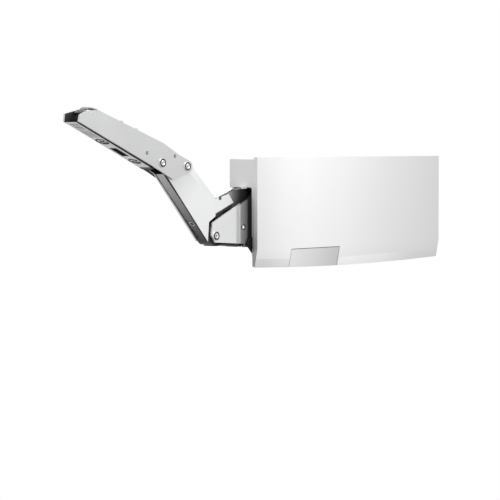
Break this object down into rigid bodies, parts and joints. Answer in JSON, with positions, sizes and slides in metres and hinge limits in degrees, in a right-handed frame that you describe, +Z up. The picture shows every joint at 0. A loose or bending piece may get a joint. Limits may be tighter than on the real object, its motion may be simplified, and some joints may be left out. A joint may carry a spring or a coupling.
{
  "type": "lift-up door mechanism",
  "caption": "Wall-cabinet door lift: a covered spring housing carries a linked lever chain whose front arm clips to a flap door and swings it up and over.",
  "frame": {"origin": "centre of the four cabinet screws, on the face of the mounting plate that lies against the cabinet wall", "axes": "+Y into the cabinet wall, +X along the housing from the door end to the back of the cabinet, +Z up; shown with the door arm open"},
  "size_m": [0.4681, 0.0286, 0.1302],
  "materials": {
    "plate_steel": "zinc plated sheet, satin",
    "arm_steel": "nickel plated, fine satin",
    "dark_steel": "dark coated steel",
    "cam_steel": "hardened and ground",
    "rivet_steel": "bright nickel",
    "cover_plastic": "pearl silver, soft satin",
    "badge": "bright satin plate",
    "cap_plastic": "light grey moulding",
    "core_plastic": "black moulding",
    "bracket_cast": "die cast, grey",
    "spring_steel": "oiled spring wire",
    "damper_body": "dark moulding"
  },
  "bodies": {
    "housing": {"mounting_plate": "plate_steel", "frame_plate": "plate_steel", "frame_posts": "plate_steel", "front_cap": "cap_plastic", "cover": "cover_plastic", "badge_plate": "badge", "lever_stubs": "cam_steel", "control_axle": "cam_steel", "control_bushes": "core_plastic", "spindle_bearing": "core_plastic", "damper_cylinder": "damper_body", "power_springs": "spring_steel"},
    "main_lever": {"lever_cheeks": "arm_steel", "cam_plates": "cam_steel", "lever_web": "dark_steel", "lever_pins": "rivet_steel", "web_rivets": "rivet_steel"},
    "outer_arm": {"outer_arm_cheeks": "arm_steel", "arm_core": "dark_steel", "core_screw": "rivet_steel"},
    "inner_arm": {"inner_arm": "dark_steel", "inner_arm_face": "arm_steel"},
    "front_arm": {"front_arm": "arm_steel", "front_rivets": "rivet_steel", "stub_pins": "rivet_steel", "adjuster_tray": "bracket_cast", "latch_pin": "cam_steel"},
    "control_lever": {"control_lever": "dark_steel", "control_pins": "cam_steel"},
    "carriage": {"spring_carriage": "cam_steel", "roller_pins": "cam_steel", "damper_rod": "cam_steel"},
    "far_roller": {"cam_roller_far": "cam_steel"},
    "near_roller": {"cam_roller_near": "cam_steel"},
    "abutment": {"spring_abutment": "bracket_cast"},
    "spindle": {"adjusting_spindle": "cam_steel"},
    "latch": {"release_latch": "arm_steel"},
    "height_adjuster": {"height_cam": "rivet_steel"},
    "side_adjuster": {"side_screw": "rivet_steel"}
  },
  "joints": [
    {"name": "door_lift", "type": "hinge", "parent": "housing", "child": "main_lever", "pos_m": [-0.13, -0.0125, 0.0215], "axis": [0, -1, 0], "range_deg": [0, 108]},
    {"name": "outer_arm_pivot", "type": "hinge", "parent": "main_lever", "child": "outer_arm", "pos_m": [-0.1912, -0.0125, -0.0202], "axis": [0, -1, 0], "range_deg": [-70.3, 0]},
    {"name": "inner_arm_pivot", "type": "hinge", "parent": "main_lever", "child": "inner_arm", "pos_m": [-0.1609, -0.0125, -0.0232], "axis": [0, -1, 0], "range_deg": [-70.3, 0]},
    {"name": "front_arm_pivot", "type": "hinge", "parent": "outer_arm", "child": "front_arm", "pos_m": [-0.2573, -0.0125, 0.0383], "axis": [0, -1, 0], "range_deg": [0, 70.3]},
    {"name": "control_lever_pivot", "type": "hinge", "parent": "housing", "child": "control_lever", "pos_m": [-0.1385, -0.0125, 0.034], "axis": [0, -1, 0], "range_deg": [0, 123.5]},
    {"name": "carriage_slide", "type": "slide", "parent": "housing", "child": "carriage", "axis": [1, 0, 0], "range_m": [0, 0.0161], "deforming": ["power_springs"]},
    {"name": "far_roller_turn", "type": "hinge", "parent": "carriage", "child": "far_roller", "pos_m": [-0.116, -0.0046, 0.0215], "axis": [0, -1, 0], "continuous": true},
    {"name": "near_roller_turn", "type": "hinge", "parent": "carriage", "child": "near_roller", "pos_m": [-0.116, -0.0204, 0.0215], "axis": [0, -1, 0], "continuous": true},
    {"name": "spindle_turn", "type": "hinge", "parent": "housing", "child": "spindle", "pos_m": [0.022, -0.0125, -0.0342], "axis": [1, 0, 0], "range_deg": [-1441, 1441]},
    {"name": "abutment_slide", "type": "slide", "parent": "housing", "child": "abutment", "axis": [1, 0, 0], "range_m": [-0.006, 0.006]},
    {"name": "latch_release", "type": "hinge", "parent": "front_arm", "child": "latch", "pos_m": [-0.33894, -0.0125, 0.07588], "axis": [0, -1, 0], "range_deg": [-3.5, 0], "stiffness_Nm_per_rad": 0.3},
    {"name": "height_cam_turn", "type": "hinge", "parent": "front_arm", "child": "height_adjuster", "pos_m": [-0.31823, -0.0125, 0.05548], "axis": [-0.309, 0, -0.9511], "range_deg": [-90, 90]},
    {"name": "side_screw_turn", "type": "hinge", "parent": "front_arm", "child": "side_adjuster", "pos_m": [-0.28083, -0.0125, 0.04017], "axis": [-0.309, 0, -0.9511], "range_deg": [-360, 360]}
  ],
  "couplings": [
    {"joint": "outer_arm_pivot", "follows": "door_lift", "ratio": -0.65},
    {"joint": "inner_arm_pivot", "follows": "door_lift", "ratio": -0.65},
    {"joint": "front_arm_pivot", "follows": "door_lift", "ratio": 0.65},
    {"joint": "control_lever_pivot", "follows": "door_lift", "ratio": 1.141},
    {"joint": "carriage_slide", "follows": "door_lift", "m_per_rad": 0.0084883},
    {"joint": "spindle_turn", "follows": "abutment_slide", "rad_per_m": 4188.8}
  ]
}
